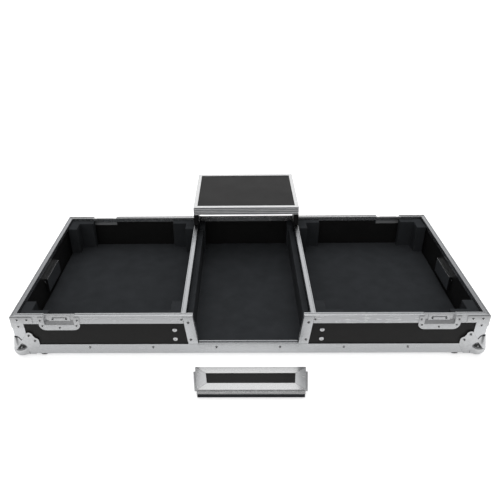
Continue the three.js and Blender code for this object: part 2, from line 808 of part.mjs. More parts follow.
const panelTopSection = [
  [0, 0],
  [lipWidth, 0],
  [lipWidth, lipHeight],
  [edgeWidth - lipWidth, lipHeight],
  [edgeWidth - lipWidth, 0],
  [edgeWidth, 0],
  [edgeWidth, trimInner],
  [edgeWidth - extrusionWall, trimInner],
  [edgeWidth - extrusionWall, panelTopWeb],
  [extrusionWall, panelTopWeb],
  [extrusionWall, trimFace],
  [0, trimFace],
];
const tongueSection = [
  [tongueFront, -tongueProud],
  [tongueRear, -tongueProud],
  [tongueRear, extrusionWall / 2],
  [tongueFront, extrusionWall / 2],
];
const panelEdges = ["bottom", "right", "top", "left"];
function mitreAt(corner) {
  const angle = corner < 2 ? Math.PI / 2 + slant : Math.PI / 2 - slant;
  return 1 / Math.tan(angle / 2);
}
function alongEdge(index, section, [fromInset, toInset], mitred) {
  const next = (index + 1) % panelEdges.length;
  const [fromX, fromZ] = panelCorners[index];
  const [toX, toZ] = panelCorners[next];
  const length = Math.hypot(toX - fromX, toZ - fromZ);
  const [alongX, alongZ] = [(toX - fromX) / length, (toZ - fromZ) / length];
  const leans = mitred ? [mitreAt(index), mitreAt(next)] : [0, 0];
  const edgeFrame = new THREE.Matrix4().makeBasis(
    new THREE.Vector3(0, 1, 0),
    new THREE.Vector3(-alongZ, 0, alongX),
    new THREE.Vector3(alongX, 0, alongZ),
  );
  const straight = run(section, [fromInset, length - toInset], leans, "y");
  return straight.applyMatrix4(edgeFrame).translate(fromX, 0, fromZ);
}
for (const [index, name] of panelEdges.entries()) {
  const section = name === "top" ? panelTopSection : panelEdgeSection;
  const edge = alongEdge(index, section, [fit / 2, fit / 2], true);
  const insets = tongueInsets[name];
  const shape = insets ? join(edge, alongEdge(index, tongueSection, insets, false)) : edge;
  piece(`panel_${name}_extrusion`, shape, aluminium, panel);
}

function panelPlate(inset, topInset, depths) {
  const narrower = inset / Math.cos(slant);
  const low = openingHalf(panelFoot + inset) - panelGap - narrower;
  const high = openingHalf(caseHeight - topInset) - panelGap - narrower;
  const top = panelHeight - topInset;
  return uprightPlate(outlineOf([[-low, inset], [low, inset], [high, top], [-high, top]]), depths);
}
const boardInset = extrusionWall + fit;
const panelBoard = panelPlate(boardInset, panelTopWeb + fit, [boardFace, boardBack]);
piece("panel_board", panelBoard, laminate, panel);

const panelFoamInset = 1;
const panelFoamThickness = 10;
const panelFoamTop = 20;
const panelFoamFace = edgeWidth + fit;
const panelBack = panelFoamFace + panelFoamThickness;
const panelFoam = panelPlate(panelFoamInset, panelHeight - panelFoamTop, [panelFoamFace, panelBack]);
piece("panel_foam_lining", panelFoam, foam, panel);
const panelTilt = Math.atan((panelBack - edgeWidth) / (panelHeight - panelFoamTop));
const panelRise = panelHeight * Math.sin(panelTilt) + edgeWidth * Math.cos(panelTilt);
panel.rotation.x = -Math.PI / 2 - panelTilt;
panel.position.set(panelShift, -panelDistance, panelRise - footHeight);

const wholeCase = new THREE.Group();
wholeCase.add(caseBody, platform, panel);
const tongueReach = tongueProud * Math.cos(panelTilt) + tongueRear * Math.sin(panelTilt);
const frontmost = -panelDistance - tongueReach;
wholeCase.position.set(0, -(frontmost + platformRear) / 2, footHeight);

export default wholeCase;
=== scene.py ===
"""A coffin case with two side bays and a middle bay, its gliding platform and its front panel."""
import math

import bmesh
import bpy
from mathutils import Matrix, Vector


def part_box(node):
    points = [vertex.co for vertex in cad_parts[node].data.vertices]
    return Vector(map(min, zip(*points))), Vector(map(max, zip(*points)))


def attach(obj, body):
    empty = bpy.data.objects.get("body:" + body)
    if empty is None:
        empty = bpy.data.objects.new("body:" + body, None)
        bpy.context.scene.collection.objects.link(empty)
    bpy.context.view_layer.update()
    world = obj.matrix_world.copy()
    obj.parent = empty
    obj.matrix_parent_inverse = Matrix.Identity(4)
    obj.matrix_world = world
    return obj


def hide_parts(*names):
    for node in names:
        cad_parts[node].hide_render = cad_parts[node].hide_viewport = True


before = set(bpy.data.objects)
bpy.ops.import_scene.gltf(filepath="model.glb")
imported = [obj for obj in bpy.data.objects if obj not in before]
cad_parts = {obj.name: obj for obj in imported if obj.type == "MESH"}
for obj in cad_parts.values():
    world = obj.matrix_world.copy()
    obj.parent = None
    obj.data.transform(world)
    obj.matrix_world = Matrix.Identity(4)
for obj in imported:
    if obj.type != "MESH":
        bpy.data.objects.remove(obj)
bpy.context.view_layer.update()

# The camera stands in front of the case, a little left of its middle, and looks down into the bays.
# It is level to within a degree, and its small shift frames the case above the panel on the floor.
CAMERA_FROM_CASE = Vector((-0.0168, -1.0186, 0.9337))
CAMERA_DOWN = math.radians(28.84)
CAMERA_YAW = math.radians(1.05)
CAMERA_ROLL = math.radians(-0.86)
FOCAL_PIXELS = 523.7
IMAGE_PIXELS = 500
VIEW_CENTRE_PIXELS = (232.5, 225.6)
case_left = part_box("left_bottom_extrusion")[0][0]
case_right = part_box("right_bottom_extrusion")[1][0]
case_front, case_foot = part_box("front_bottom_extrusion")[0][1:]
case_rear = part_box("rear_bottom_extrusion")[1][1]
camera_data = bpy.data.cameras.new("camera")
camera_data.sensor_width = 36
camera_data.lens = camera_data.sensor_width * FOCAL_PIXELS / IMAGE_PIXELS
camera_data.shift_x = 0.5 - VIEW_CENTRE_PIXELS[0] / IMAGE_PIXELS
camera_data.shift_y = VIEW_CENTRE_PIXELS[1] / IMAGE_PIXELS - 0.5
camera = bpy.data.objects.new("camera", camera_data)
looking_level = Matrix.Rotation(math.pi / 2, 4, "X")
camera.matrix_world = (
    Matrix.Translation(CAMERA_FROM_CASE + Vector((0, case_front, case_foot)))
    @ Matrix.Rotation(CAMERA_YAW, 4, "Z")
    @ Matrix.Rotation(-CAMERA_DOWN, 4, "X")
    @ looking_level
    @ Matrix.Rotation(CAMERA_ROLL, 4, "Z")
)
bpy.context.scene.collection.objects.link(camera)
bpy.context.scene.camera = camera


# The studio is a white floor in a white room. A wide softbox behind the case and one above it show in
# its metal, the camera's end of the room is dim but for one small lamp, and two soft suns light the
# surfaces.
def linear(colour):
    """An sRGB hex value as the linear colour that a shader wants."""
    parts = [int(colour[i : i + 2], 16) / 255 for i in (1, 3, 5)]
    return [c / 12.92 if c <= 0.04045 else ((c + 0.055) / 1.055) ** 2.4 for c in parts] + [1.0]


def add(tree, kind, links=None, **settings):
    """Adds a node to a tree. Each link is a socket to join or a plain value to set."""
    node = tree.nodes.new(kind)
    for name, value in settings.items():
        setattr(node, name, value)
    for name, value in (links or {}).items():
        socket = node.inputs[name]
        if isinstance(value, bpy.types.NodeSocket):
            tree.links.new(value, socket)
        else:
            socket.default_value = value
    return node


def facing(azimuth, elevation):
    """A direction. Azimuth 0 points from the case to the camera's end, and 90 points right."""
    away, rise = math.radians(azimuth), math.radians(elevation)
    return Vector((math.sin(away) * math.cos(rise), -math.cos(away) * math.cos(rise), math.sin(rise)))


FLOOR_WHITE = "#f7f7f7"
FLOOR_DIM = "#787878"
FLOOR_REACH = 60
FLOOR_LIFT_SEEN = 0.55
FLOOR_LIFT_MIRRORED = 0.26
# What metal mirrors of the paper is painted: a painted glow near the case that fades out, and a painted
# dim grey further off, between these distances in front of the case.
FADE_START = 0.05
FADE_END = 0.25
DIM_START = 0.13
DIM_END = 0.2
floor_mesh = bpy.data.meshes.new("floor")
floor_corners = [(x * FLOOR_REACH, y * FLOOR_REACH, 0) for x, y in ((-1, -1), (1, -1), (1, 1), (-1, 1))]
floor_mesh.from_pydata(floor_corners, [], [(0, 1, 2, 3)])
floor = bpy.data.objects.new("floor", floor_mesh)
bpy.context.scene.collection.objects.link(floor)
paper = bpy.data.materials.new("white_paper_floor")
paper.use_nodes = True
tree = paper.node_tree
tree.nodes.clear()
ray = add(tree, "ShaderNodeLightPath")
seen_rays = {0: ray.outputs["Is Camera Ray"], 1: ray.outputs["Is Transmission Ray"]}
straight = add(tree, "ShaderNodeMath", seen_rays)
place = add(tree, "ShaderNodeTexCoord").outputs["Object"]
back = add(tree, "ShaderNodeSeparateXYZ", {0: place}).outputs["Y"]
# Glossy rays see a painted glow on the paper near the case, a painted reflection that fades out further
# off.
painted_mirrored_glow = add(
    tree,
    "ShaderNodeMapRange",
    {
        "Value": back,
        "From Min": case_front - FADE_END,
        "From Max": case_front - FADE_START,
        "To Max": FLOOR_LIFT_MIRRORED,
    },
    interpolation_type="SMOOTHSTEP",
)
seen = add(tree, "ShaderNodeMath", {0: straight.outputs[0], 1: FLOOR_LIFT_SEEN}, operation="MULTIPLY")
lift = add(
    tree,
    "ShaderNodeMath",
    {0: ray.outputs["Is Glossy Ray"], 1: painted_mirrored_glow.outputs[0], 2: seen.outputs[0]},
    operation="MULTIPLY_ADD",
)
# Glossy rays see the paper painted dim grey far in front of the case, a painted reflection of the dim end
# of the room; camera rays still see it white.
far_painted_dim = add(
    tree,
    "ShaderNodeMapRange",
    {
        "Value": back,
        "From Min": case_front - DIM_END,
        "From Max": case_front - DIM_START,
        "To Min": 1.0,
        "To Max": 0.0,
    },
    interpolation_type="SMOOTHSTEP",
)
dim = add(
    tree,
    "ShaderNodeMath",
    {0: ray.outputs["Is Glossy Ray"], 1: far_painted_dim.outputs[0]},
    operation="MULTIPLY",
)
tone = add(
    tree,
    "ShaderNodeMix",
    {0: dim.outputs[0], 6: linear(FLOOR_WHITE), 7: linear(FLOOR_DIM)},
    data_type="RGBA",
)
matt = add(tree, "ShaderNodeBsdfDiffuse", {"Color": tone.outputs[2]})
glow = add(tree, "ShaderNodeEmission", {"Strength": lift.outputs[0]})
lit = add(tree, "ShaderNodeAddShader", {0: matt.outputs[0], 1: glow.outputs[0]})
add(tree, "ShaderNodeOutputMaterial", {"Surface": lit.outputs[0]})
floor_mesh.materials.append(paper)

WORLD_FILL = 0.4
ROOM = 0.32
ROOM_LOWEST = 0.05
SOFTBOX = {"inner": 0, "outer": 30, "strength": 0.4}
DIM_WALL = {"inner": 12, "outer": 33, "strength": -0.48}
GLOWS = (
    *({"towards": facing(180, rise), **SOFTBOX} for rise in (22, 42)),
    {"towards": facing(0, 90), "inner": 18, "outer": 36, "strength": 0.48},
    {"towards": facing(0, -90), "inner": 84, "outer": 98, "strength": 0.4},
    *({"towards": facing(azimuth, 38), **DIM_WALL} for azimuth in (-78, -40, 0, 40, 78)),
    {"towards": facing(0, 31), "inner": 5, "outer": 13, "strength": 0.9},
)
world = bpy.data.worlds.new("white_studio")
bpy.context.scene.world = world
world.use_nodes = True
tree = world.node_tree
tree.nodes.clear()
towards = add(tree, "ShaderNodeTexCoord").outputs["Generated"]
room = ROOM
for light in GLOWS:
    near = add(tree, "ShaderNodeVectorMath", {0: towards, 1: light["towards"]}, operation="DOT_PRODUCT")
    patch = add(
        tree,
        "ShaderNodeMapRange",
        {
            "Value": near.outputs["Value"],
            "From Min": math.cos(math.radians(light["outer"])),
            "From Max": math.cos(math.radians(light["inner"])),
            "To Max": light["strength"],
        },
        interpolation_type="SMOOTHSTEP",
    )
    room = add(tree, "ShaderNodeMath", {0: room, 1: patch.outputs[0]}).outputs[0]
room = add(tree, "ShaderNodeMath", {0: room, 1: ROOM_LOWEST}, operation="MAXIMUM").outputs[0]
ray = add(tree, "ShaderNodeLightPath")
seen_rays = {0: ray.outputs["Is Camera Ray"], 1: ray.outputs["Is Transmission Ray"]}
straight = add(tree, "ShaderNodeMath", seen_rays)
white_or_fill = add(tree, "ShaderNodeMapRange", {"Value": straight.outputs[0], "To Min": WORLD_FILL})
strength = add(
    tree,
    "ShaderNodeMix",
    {0: ray.outputs["Is Glossy Ray"], 2: white_or_fill.outputs[0], 3: room},
)
sky = add(tree, "ShaderNodeBackground", {"Color": linear("#ffffff"), "Strength": strength.outputs[0]})
add(tree, "ShaderNodeOutputWorld", {"Surface": sky.outputs[0]})

SOFTNESS = math.radians(70)
SUNS = {"back_sun": (facing(170, 58), 1.35), "front_sun": (facing(-25, 52), 0.7)}
for name, (direction, power) in SUNS.items():
    sun_data = bpy.data.lights.new(name, "SUN")
    sun_data.energy = power
    sun_data.angle = SOFTNESS
    sun = bpy.data.objects.new(name, sun_data)
    sun.rotation_mode = "QUATERNION"
    sun.rotation_quaternion = direction.to_track_quat("Z", "Y")
    sun.visible_glossy = False
    bpy.context.scene.collection.objects.link(sun)
bpy.context.scene.view_settings.view_transform = "Standard"


# The walls, base and partitions are birch ply with a hot-pressed black phenolic laminate on both
# faces. Its fine hexagonal press marks catch the light, and the cut edges are sanded and stained.
def blank_finish(name):
    """A new material with an empty tree, and the coordinates that its patterns follow."""
    material = bpy.data.materials.new(name)
    material.use_nodes = True
    tree = material.node_tree
    tree.nodes.clear()
    where = add(tree, "ShaderNodeTexCoord").outputs["Object"]
    return material, tree, where


def phenolic_laminate():
    """Hot-pressed phenolic film: near black, with a dull sheen broken up by its press marks."""
    material, tree, where = blank_finish("phenolic_laminate_on_birch")
    press_mark_mm = 1.6
    press_mark_edge_share = 0.12
    press_mark_deep_mm = 0.12
    cloud_mm = 60
    marks = add(
        tree,
        "ShaderNodeTexVoronoi",
        {"Vector": where, "Scale": 1000 / press_mark_mm},
        feature="DISTANCE_TO_EDGE",
    )
    clouds = add(tree, "ShaderNodeTexNoise", {"Vector": where, "Scale": 1000 / cloud_mm, "Detail": 5.0})
    cloud = clouds.outputs[0]
    ends = {0: cloud, 6: linear("#151515"), 7: linear("#1d1c1c")}
    colour = add(tree, "ShaderNodeMix", ends, data_type="RGBA")
    roughness = add(tree, "ShaderNodeMapRange", {"Value": cloud, "To Min": 0.4, "To Max": 0.55})
    edges = {"Value": marks.outputs["Distance"], "From Max": press_mark_edge_share}
    height = add(tree, "ShaderNodeMapRange", edges)
    bump = add(
        tree,
        "ShaderNodeBump",
        {"Height": height.outputs[0], "Distance": press_mark_deep_mm / 1000, "Strength": 0.5},
    )
    shader = add(
        tree,
        "ShaderNodeBsdfPrincipled",
        {
            "Base Color": colour.outputs[2],
            "Roughness": roughness.outputs[0],
            "Specular IOR Level": 0.25,
            "Normal": bump.outputs[0],
        },
    )
    add(tree, "ShaderNodeOutputMaterial", {"Surface": shader.outputs[0]})
    return material


SMOOTH_TURN = math.radians(50)
SHARP_TURN = math.radians(30)
FLAT_TURN = math.radians(0.5)
WELD = 1e-6


def show(mesh, name, body, slot, material, *nodes):
    """Puts a finished mesh in the scene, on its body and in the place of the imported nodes."""
    mesh.materials.clear()
    mesh.materials.append(material)
    mesh.shade_smooth()
    mesh.set_sharp_from_angle(angle=SMOOTH_TURN)
    made = bpy.data.objects.new(name, mesh)
    bpy.context.scene.collection.objects.link(made)
    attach(made, body)
    if nodes:
        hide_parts(*nodes)
    return made


def eased(node, body, slot, material, width, steps=2):
    """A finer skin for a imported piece: its flat faces made whole and its sharp edges rounded."""
    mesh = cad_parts[node].data.copy()
    mesh.name = f"{node}_skin"
    made = bmesh.new()
    made.from_mesh(mesh)
    bmesh.ops.remove_doubles(made, verts=made.verts, dist=WELD)
    bmesh.ops.dissolve_limit(made, angle_limit=FLAT_TURN, verts=made.verts, edges=made.edges)
    sharp = [edge for edge in made.edges if edge.is_manifold and edge.calc_face_angle() > SHARP_TURN]
    bmesh.ops.bevel(
        made,
        geom=sharp,
        offset=width,
        segments=steps,
        profile=0.5,
        affect="EDGES",
        clamp_overlap=True,
    )
    made.to_mesh(mesh)
    made.free()
    skin = show(mesh, f"{node}_skin", body, slot, material, node)
    weighted = skin.modifiers.new("weighted", "WEIGHTED_NORMAL")
    weighted.keep_sharp = True
    return skin


BOARD_EASE = 0.0004
laminate = phenolic_laminate()
for board in (
    "base_board",
    "front_wall",
    "rear_wall",
    "left_end_wall",
    "right_end_wall",
    "left_partition",
    "right_partition",
):
    eased(board, "case", "laminate", laminate, BOARD_EASE)


# The edges are held by extruded aluminium, satin anodised: rims with two lips, caps on the partitions,
# trims and a sill round the opening, and plain angles below and up the corners. Fine die lines run
# along each length, so a finish goes with the way that a piece lies. Copies of this one finish are painted
# paler or darker, as painted light and shade for how each piece lies in the light.
ALONG_X = (1, 0, 0)
ALONG_Y = (0, 1, 0)
ALONG_Z = (0, 0, 1)
# How softly the painted shade in a groove fades at its edges, inside and outside.
SHADE_FADE_INSIDE = 0.0003
SHADE_FADE_OUTSIDE = 0.0001


def groove_shaded(tree, where, unshaded, grooves):
    """The unshaded colour, greyed as painted shade in the level grooves of the extrusion."""
    up = add(tree, "ShaderNodeSeparateXYZ", {0: where}).outputs["Z"]
    above = add(tree, "ShaderNodeMath", {0: up, 1: grooves["lowest"]}, operation="SUBTRACT")
    half_pitch = grooves["pitch"] / 2
    off = add(tree, "ShaderNodeMath", {0: above.outputs[0], 1: half_pitch}, operation="PINGPONG")
    half_groove = grooves["height"] / 2
    crest = add(
        tree,
        "ShaderNodeMapRange",
        {
            "Value": off.outputs[0],
            "From Min": half_groove - SHADE_FADE_INSIDE,
            "From Max": half_groove + SHADE_FADE_OUTSIDE,
        },
    )
    ends = {0: crest.outputs[0], 6: linear(grooves["painted_shade"]), 7: unshaded}
    return add(tree, "ShaderNodeMix", ends, data_type="RGBA").outputs[2]


def anodised_aluminium(name, along, dull="#c4c6c8", pale="#cfd0d2", smear=0.8, milky=0.0, grooves=None):
    """Satin anodised aluminium: a pale metal whose die lines smear what it mirrors across them."""
    material, tree, where = blank_finish(name)
    # Real die lines lie closer than the render can show, so these are drawn coarser.
    die_line_mm = 0.9
    die_line_length_mm = 75
    die_line_deep_mm = 0.01
    blotch_mm = 45
    line_scales = [1000 / (die_line_length_mm if share else die_line_mm) for share in along]
    stretched = add(tree, "ShaderNodeVectorMath", {0: where, 1: line_scales}, operation="MULTIPLY")
    die_lines = {"Vector": stretched.outputs[0], "Scale": 1.0, "Detail": 3.0}
    lines = add(tree, "ShaderNodeTexNoise", die_lines)
    blotches = add(tree, "ShaderNodeTexNoise", {"Vector": where, "Scale": 1000 / blotch_mm, "Detail": 4.0})
    both = add(tree, "ShaderNodeMath", {0: lines.outputs[0], 1: blotches.outputs[0]})
    tone = add(tree, "ShaderNodeMath", {0: both.outputs[0], 1: 0.5}, operation="MULTIPLY").outputs[0]
    ends = {0: tone, 6: linear(dull), 7: linear(pale)}
    colour = add(tree, "ShaderNodeMix", ends, data_type="RGBA").outputs[2]
    if grooves:
        colour = groove_shaded(tree, where, colour, grooves)
    roughness = add(tree, "ShaderNodeMapRange", {"Value": tone, "To Min": 0.24, "To Max": 0.3})
    surface = add(tree, "ShaderNodeNewGeometry").outputs["Normal"]
    across = add(tree, "ShaderNodeVectorMath", {0: surface, 1: along}, operation="CROSS_PRODUCT")
    bump = add(
        tree,
        "ShaderNodeBump",
        {"Height": lines.outputs[0], "Distance": die_line_deep_mm / 1000, "Strength": 0.25},
    )
    shader = add(
        tree,
        "ShaderNodeBsdfPrincipled",
        {
            "Base Color": colour,
            "Roughness": roughness.outputs[0],
            "Metallic": 1.0 - milky,
            "Anisotropic": smear,
            "Tangent": across.outputs[0],
            "Normal": bump.outputs[0],
        },
    )
    add(tree, "ShaderNodeOutputMaterial", {"Surface": shader.outputs[0]})
    return material


lying_along_x = anodised_aluminium("anodised_aluminium_along_x", ALONG_X)
# The front rims are a little paler than the rest, which is painted light, and less metallic.
milky_along_x = anodised_aluminium(
    "milky_anodised_aluminium_along_x",
    ALONG_X,
    "#cacccf",
    "#d4d5d6",
    smear=0.6,
    milky=0.45,
)
# Painted paler than the rest: painted light on the rear rim and on the panel's top and bottom.
lit_along_x = anodised_aluminium("painted_light_aluminium_along_x", ALONG_X, "#e4e5e6", "#f0f0f0")
# Painted darker than the rest: painted shade on the end rims, the partition caps and the end extrusions.
shaded_along_y = anodised_aluminium("painted_shade_aluminium_along_y", ALONG_Y, "#bbbdc0", "#c7c8ca")
standing = anodised_aluminium("anodised_aluminium_standing", ALONG_Z)
EXTRUSION_EASE = 0.00035
EXTRUSIONS = (
    ("front_left_rim", milky_along_x),
    ("front_right_rim", milky_along_x),
    ("rear_rim", lit_along_x),
    ("left_rim", shaded_along_y),
    ("right_rim", shaded_along_y),
    ("left_partition_cap", shaded_along_y),
    ("right_partition_cap", shaded_along_y),
    ("opening_sill", lying_along_x),
    ("left_opening_trim", standing),
    ("right_opening_trim", standing),
    ("front_bottom_extrusion", lying_along_x),
    ("rear_bottom_extrusion", lying_along_x),
    ("left_bottom_extrusion", shaded_along_y),
    ("right_bottom_extrusion", shaded_along_y),
)
for extrusion, finish in EXTRUSIONS:
    eased(extrusion, "case", "aluminium", finish, EXTRUSION_EASE)
CORNERS = {"front_left": (1, 1), "front_right": (-1, 1), "rear_left": (1, -1), "rear_right": (-1, -1)}
for corner in CORNERS:
    eased(f"{corner}_corner_extrusion", "case", "aluminium", standing, EXTRUSION_EASE)


# The ball corners are deep-drawn from 1.5 mm steel sheet and zinc plated: a hollow ball round the
# corner, a ridge that dies out up the edge, and a lobed leg on each face that rivets hold. Their sizes
# and places are in millimetres from the outer corner of the case.
def zinc_plated_steel(name, milky=0.0):
    """Bright zinc plate: a pale, fairly smooth metal with a faint spangle and soft scratches."""
    material, tree, where = blank_finish(name)
    spangle_mm = 7
    scratch_mm = 1.5
    scratch_deep_mm = 0.02
    spangle = add(tree, "ShaderNodeTexVoronoi", {"Vector": where, "Scale": 1000 / spangle_mm})
    scratches = add(
        tree,
        "ShaderNodeTexNoise",
        {"Vector": where, "Scale": 1000 / scratch_mm, "Detail": 4.0, "Distortion": 1.5},
    )
    scratch = scratches.outputs[0]
    ends = {0: spangle.outputs["Distance"], 6: linear("#cbcccd"), 7: linear("#bcbdbf")}
    colour = add(tree, "ShaderNodeMix", ends, data_type="RGBA")
    roughness = add(tree, "ShaderNodeMapRange", {"Value": scratch, "To Min": 0.1, "To Max": 0.26})
    bump = add(
        tree,
        "ShaderNodeBump",
        {"Height": scratch, "Distance": scratch_deep_mm / 1000, "Strength": 0.3},
    )
    shader = add(
        tree,
        "ShaderNodeBsdfPrincipled",
        {
            "Base Color": colour.outputs[2],
            "Roughness": roughness.outputs[0],
            "Metallic": 1.0 - milky,
            "Normal": bump.outputs[0],
        },
    )
    add(tree, "ShaderNodeOutputMaterial", {"Surface": shader.outputs[0]})
    return material


MM = 0.001
SHEET = 1.5
SHEET_FACE = -1.8
EDGE_ROUND = 2.5
BALL_CENTRE = Vector((9.3, 9.3, 14.8))
BALL_RADIUS = 22.2
RIDGE_FOOT = Vector((3, 3, 23))
RIDGE_FOOT_RADIUS = 12.5
RIDGE_TIP = Vector((3, 3, 59))
RIDGE_TIP_RADIUS = 5.6
DRAW_BLEND = 4
PULL_POWER = 4
LEG_LOBE = 10
LOBE_STEPS = 20
UPPER_LOBE = (36.5, 60)
OUTER_LOBE = (49.5, 43)
OUTER_LOBE_TURN = 0.45 * math.pi
OUTER_LOBE_STEPS = 10
LEG_FOOT = 44
LEG_WIDTH = 30
LEG_EDGE = ((15, 44), (9, 54), (SHEET_FACE, 58))
LEG_SLIT = (27.6, 29.0, 7.5)
PRESS_GRID = 1.4


def arc(centre, radius, start, stop, steps):
    """Points on part of a circle."""
    angles = [start + (stop - start) * i / steps for i in range(steps + 1)]
    return [(centre[0] + radius * math.cos(a), centre[1] + radius * math.sin(a)) for a in angles]


def pushed_out(place, centre, radius, hollow):
    """How far a ball pushes a point of the sheet, with a soft hollow where the ball meets the sheet."""
    reach = (place - centre).length
    blend = max(hollow - abs(reach - radius), 0) / hollow
    drawn = max(reach, radius) + blend * blend * hollow / 4
    return (place - centre) * (drawn / reach - 1)


def drawn_out(place):
    """Moves a point of the folded sheet to where the press draws it: a round edge, ball or ridge."""
    inside = Vector([max(value, SHEET_FACE + EDGE_ROUND) for value in place])
    rounded = inside + (place - inside).normalized() * EDGE_ROUND
    share = (rounded.z - RIDGE_FOOT.z) / (RIDGE_TIP.z - RIDGE_FOOT.z)
    share = min(max(share, 0), 1)
    radius = RIDGE_FOOT_RADIUS + (RIDGE_TIP_RADIUS - RIDGE_FOOT_RADIUS) * share
    hollow = DRAW_BLEND + (PRESS_GRID / 4 - DRAW_BLEND) * share
    by_ball = pushed_out(rounded, BALL_CENTRE, BALL_RADIUS, DRAW_BLEND)
    by_ridge = pushed_out(rounded, RIDGE_FOOT.lerp(RIDGE_TIP, share), radius, hollow)
    ball_pull, ridge_pull = by_ball.length**PULL_POWER, by_ridge.length**PULL_POWER
    if ball_pull + ridge_pull == 0:
        return rounded
    return rounded + (by_ball * ball_pull + by_ridge * ridge_pull) / (ball_pull + ridge_pull)


def pressed_face(outline, onto):
    """One flat face of the sheet as a fine grid inside its outline."""
    made = bmesh.new()
    made.faces.new([made.verts.new(onto @ Vector((across, up, 0))) for across, up in outline])
    for axis, line in ((0, Vector((1, 0, 0))), (1, Vector((0, 1, 0)))):
        reach = max(point[axis] for point in outline) - SHEET_FACE
        for step in range(1, math.ceil(reach / PRESS_GRID)):
            place = Vector((SHEET_FACE, SHEET_FACE, 0)) + line * step * PRESS_GRID
            bmesh.ops.bisect_plane(
                made,
                geom=[*made.verts, *made.edges, *made.faces],
                plane_co=onto @ place,
                plane_no=onto.to_3x3() @ line,
            )
    return made


def ball_corner_sheet():
    """The drawn sheet of a ball corner, in millimetres, for a corner at the origin."""
    upright = [
        (SHEET_FACE, SHEET_FACE),
        (LEG_FOOT, SHEET_FACE),
        (OUTER_LOBE[0] + LEG_LOBE, LEG_WIDTH),
        *arc(OUTER_LOBE, LEG_LOBE, 0, OUTER_LOBE_TURN, OUTER_LOBE_STEPS),
        *arc(UPPER_LOBE, LEG_LOBE, 0, math.pi, LOBE_STEPS),
        *LEG_EDGE,
    ]
    foot = [
        (SHEET_FACE, SHEET_FACE),
        (LEG_FOOT, SHEET_FACE),
        (LEG_FOOT, LEG_FOOT),
        (SHEET_FACE, LEG_FOOT),
    ]
    level = Matrix.Translation((0, 0, SHEET_FACE))
    front = Matrix(((1, 0, 0, 0), (0, 0, -1, SHEET_FACE), (0, 1, 0, 0), (0, 0, 0, 1)))
    side = Matrix(((0, 0, 1, SHEET_FACE), (1, 0, 0, 0), (0, 1, 0, 0), (0, 0, 0, 1)))
    sheet = bmesh.new()
    for outline, onto in ((upright, front), (upright, side), (foot, level)):
        face = pressed_face(outline, onto)
        part = bpy.data.meshes.new("part")
        face.to_mesh(part)
        face.free()
        sheet.from_mesh(part)
        bpy.data.meshes.remove(part)
    bmesh.ops.remove_doubles(sheet, verts=sheet.verts, dist=PRESS_GRID / 20)
    near, far, up = LEG_SLIT
    slit = []
    for face in sheet.faces:
        middle = face.calc_center_median()
        if SHEET_FACE + SHEET / 4 < middle.z < up and (near < middle.x < far or near < middle.y < far):
            slit.append(face)
    bmesh.ops.delete(sheet, geom=slit, context="FACES")
    bmesh.ops.recalc_face_normals(sheet, faces=sheet.faces)
    for vertex in sheet.verts:
        vertex.co = drawn_out(vertex.co)
    inner = Vector((LEG_FOOT, LEG_FOOT, LEG_FOOT))
    outward = 0
    for face in sheet.faces:
        outward += face.normal.dot(face.calc_center_median() - inner) * face.calc_area()
    if outward < 0:
        bmesh.ops.reverse_faces(sheet, faces=sheet.faces)
    return sheet


PRESSED_EASE = 0.0004
SHEET_EDGE_TURN = math.radians(60)
zinc_plate = zinc_plated_steel("zinc_plated_steel")
corner_sheet = ball_corner_sheet()
for corner, (inward_x, inward_y) in CORNERS.items():
    name = f"{corner}_ball_corner_press"
    mesh = bpy.data.meshes.new(name)
    made = corner_sheet.copy()
    corner_x = case_left if inward_x > 0 else case_right
    corner_y = case_front if inward_y > 0 else case_rear
    there = Matrix.Translation((corner_x, corner_y, case_foot))
    made.transform(there @ Matrix.Diagonal((inward_x * MM, inward_y * MM, MM, 1)))
    if inward_x * inward_y < 0:
        bmesh.ops.reverse_faces(made, faces=made.faces)
    made.to_mesh(mesh)
    made.free()
    press = show(mesh, name, "case", "steel", zinc_plate, f"{corner}_ball_corner")
    thickness = press.modifiers.new("sheet", "SOLIDIFY")
    thickness.thickness = SHEET * MM
    thickness.offset = -1
    soft_edge = press.modifiers.new("soft_edge", "BEVEL")
    soft_edge.width = PRESSED_EASE
    soft_edge.segments = 2
    soft_edge.angle_limit = SHEET_EDGE_TURN
corner_sheet.free()


# Rivets and screws hold the steel and the extrusions to the boards. A rivet has a low domed head with
# a dimple where its mandrel broke off, and a screw has a wide pan head with a socket.
def turned(made, profile, place, outward, steps=24):
    """Adds a closed turned solid. The profile gives radius and height in mm, from top to foot."""
    turn = outward.to_track_quat("Z", "Y").to_matrix().to_4x4()
    stand = Matrix.Translation(place) @ turn @ Matrix.Diagonal((MM, MM, MM, 1))
    rings = []
    for radius, height in profile:
        angles = [2 * math.pi * i / steps for i in range(steps if radius else 1)]
        places = [stand @ Vector((radius * math.cos(a), radius * math.sin(a), height)) for a in angles]
        rings.append([made.verts.new(place) for place in places])
    for upper, lower in zip(rings, rings[1:]):
        for i in range(steps):
            here, beyond = i, (i + 1) % steps
            face = [upper[here % len(upper)], lower[here % len(lower)]]
            face += [lower[beyond % len(lower)], upper[beyond % len(upper)]]
            made.faces.new(list(dict.fromkeys(face)))


def dome(radius, height, hole, steps=6):
    """The profile of a low dome, from the hole in its middle to its edge."""
    start = math.asin(hole / radius)
    angles = [start + (math.pi / 2 - start) * i / steps for i in range(steps + 1)]
    return [(radius * math.sin(a), height * math.cos(a)) for a in angles]


def fasteners(name, profile, places, body="case"):
    """One piece that holds like fasteners. Each place is a point on the surface and its way out."""
    made = bmesh.new()
    for place, outward in places:
        turned(made, profile, place, outward)
    mesh = bpy.data.meshes.new(name)
    made.to_mesh(mesh)
    made.free()
    return show(mesh, name, body, "steel", zinc_plate)


